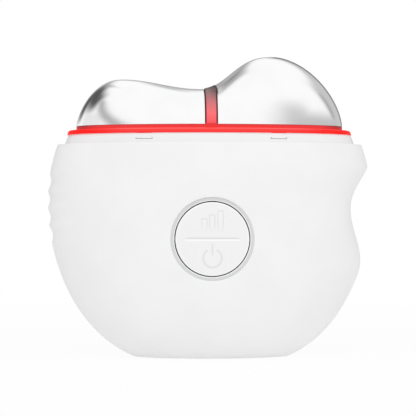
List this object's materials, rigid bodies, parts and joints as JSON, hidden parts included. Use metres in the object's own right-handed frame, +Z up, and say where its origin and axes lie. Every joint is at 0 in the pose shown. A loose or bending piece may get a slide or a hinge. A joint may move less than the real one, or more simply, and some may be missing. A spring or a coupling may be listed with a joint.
{
  "type": "heated face massager",
  "caption": "Palm-sized heated face massager: a rounded white body with a finger rest, polished metal lobes over a red light frame, and a round rocking button on the front",
  "frame": {"origin": "Middle of the flat base the massager stands on.", "axes": "+X runs along the head from the low lobe to the high lobe, which is the widest way; -Y is the front with the button; +Z is up, from the base to the lobes."},
  "size_m": [0.0797, 0.042, 0.0744],
  "materials": {
    "shell_white": "satin moulded plastic",
    "collar_white": "smooth moulded plastic",
    "plug_white": "soft moulded plugs",
    "lobe_metal": "mirror polished plate",
    "light_red": "translucent red moulding, lit from inside",
    "bezel_grey": "smooth moulded plastic",
    "cap_white": "smooth moulded plastic with printed signs",
    "film_amber": "polyimide film",
    "sensor_black": "epoxy bead",
    "board_green": "solder mask",
    "chip_black": "moulded epoxy",
    "led_white": "moulded light source",
    "screw_steel": "plated steel",
    "motor_steel": "drawn steel can",
    "weight_tungsten": "sintered heavy metal",
    "boot_rubber": "moulded rubber",
    "switch_black": "moulded plastic",
    "battery_wrap": "foil pouch",
    "pad_foam": "adhesive foam",
    "socket_steel": "plated sheet steel"
  },
  "bodies": {
    "housing": {"front_shell": "shell_white", "rear_shell": "shell_white", "shell_screws": "screw_steel", "screw_plugs": "plug_white", "top_collar": "collar_white", "low_lobe": "lobe_metal", "low_heater_film": "film_amber", "high_lobe": "lobe_metal", "high_heater_film": "film_amber", "heat_sensor": "sensor_black", "light_frame": "light_red", "head_base": "collar_white", "head_screws": "screw_steel", "led_board": "board_green", "red_leds": "led_white", "vibration_motor": "motor_steel", "motor_boot": "boot_rubber", "button_bezel": "bezel_grey", "pivot_pin": "screw_steel", "upper_switch": "switch_black", "lower_switch": "switch_black", "main_board": "board_green", "board_chips": "chip_black", "board_screws": "screw_steel", "battery": "battery_wrap", "battery_pad": "pad_foam", "charge_board": "board_green", "usb_socket": "socket_steel", "charge_screws": "screw_steel"},
    "button": {"button_cap": "cap_white"},
    "upper_contact": {"upper_plunger": "switch_black"},
    "lower_contact": {"lower_plunger": "switch_black"},
    "motor_rotor": {"motor_shaft": "screw_steel", "eccentric_weight": "weight_tungsten"}
  },
  "joints": [
    {"name": "button_rock", "type": "hinge", "parent": "housing", "child": "button", "pos_m": [0, -0.01699, 0.0295], "axis": [-1, 0, 0], "range_deg": [-3, 3], "stiffness_Nm_per_rad": 0.137},
    {"name": "upper_contact_press", "type": "slide", "parent": "housing", "child": "upper_contact", "axis": [0, 1, 0], "range_m": [-0.0003, 0.0003]},
    {"name": "lower_contact_press", "type": "slide", "parent": "housing", "child": "lower_contact", "axis": [0, 1, 0], "range_m": [-0.0003, 0.0003]},
    {"name": "motor_spin", "type": "hinge", "parent": "housing", "child": "motor_rotor", "pos_m": [0.0061, 0, 0.0472], "axis": [1, 0, 0], "continuous": true}
  ],
  "couplings": [
    {"joint": "upper_contact_press", "follows": "button_rock", "m_per_rad": 0.0046},
    {"joint": "lower_contact_press", "follows": "button_rock", "m_per_rad": -0.0046}
  ]
}
